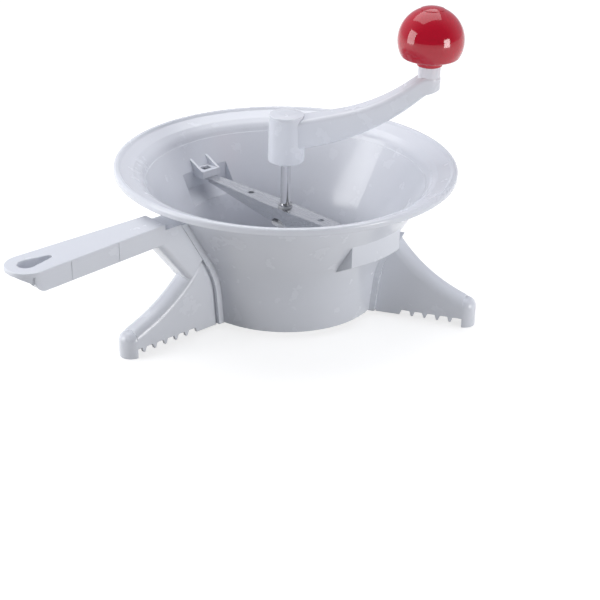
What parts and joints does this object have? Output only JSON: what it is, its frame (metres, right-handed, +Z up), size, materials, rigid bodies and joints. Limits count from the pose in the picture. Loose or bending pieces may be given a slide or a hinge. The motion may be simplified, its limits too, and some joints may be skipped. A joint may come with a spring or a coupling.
{
  "type": "hand cranked food mill",
  "caption": "Funnel bowl with a flat grip, notched feet, a sprung crank with a ball knob, a sieve plate and a tilted pressing blade.",
  "frame": {"origin": "on the crank's axis, in the plane of the bowl's flat base ring", "axes": "+Z up along the crank's axis, -X along the handle, Y nearly along the steel crossbar; at rest the crank arm points between +X and -Y"},
  "size_m": [0.3505, 0.2464, 0.2164],
  "materials": {
    "white_plastic": "glossy moulded",
    "red_plastic": "glossy moulded",
    "white_bush": "satin moulded",
    "bright_steel": "polished",
    "sheet_steel": "fine brushed",
    "spring_steel": "drawn wire"
  },
  "bodies": {
    "stand": {"bowl": "white_plastic", "handle": "white_plastic", "handle_foot": "white_plastic", "right_foot": "white_plastic", "rear_foot": "white_plastic", "sieve_disc": "sheet_steel", "crossbar": "sheet_steel", "bar_bush": "white_bush"},
    "carriage": {"spring_washer": "bright_steel", "spring": "spring_steel"},
    "crank": {"shaft": "bright_steel", "retaining_clip": "spring_steel", "pressing_blade": "sheet_steel", "blade_hub": "sheet_steel", "blade_pin": "bright_steel", "crank_arm": "white_plastic", "hub_cap": "white_plastic", "hub_screw": "bright_steel", "knob_pin": "bright_steel"},
    "grip": {"knob": "red_plastic", "knob_cap": "red_plastic"}
  },
  "joints": [
    {"name": "shaft_lift", "type": "slide", "parent": "stand", "child": "carriage", "axis": [0, 0, 1], "range_m": [0, 0.004], "stiffness_N_per_m": 1200, "springref_m": -0.01, "deforming": ["spring"]},
    {"name": "crank_spin", "type": "hinge", "parent": "carriage", "child": "crank", "pos_m": [0, 0, 0], "axis": [0, 0, 1], "continuous": true},
    {"name": "knob_spin", "type": "hinge", "parent": "crank", "child": "grip", "pos_m": [0.07088, -0.06563, 0.19], "axis": [0, 0, 1], "continuous": true}
  ]
}
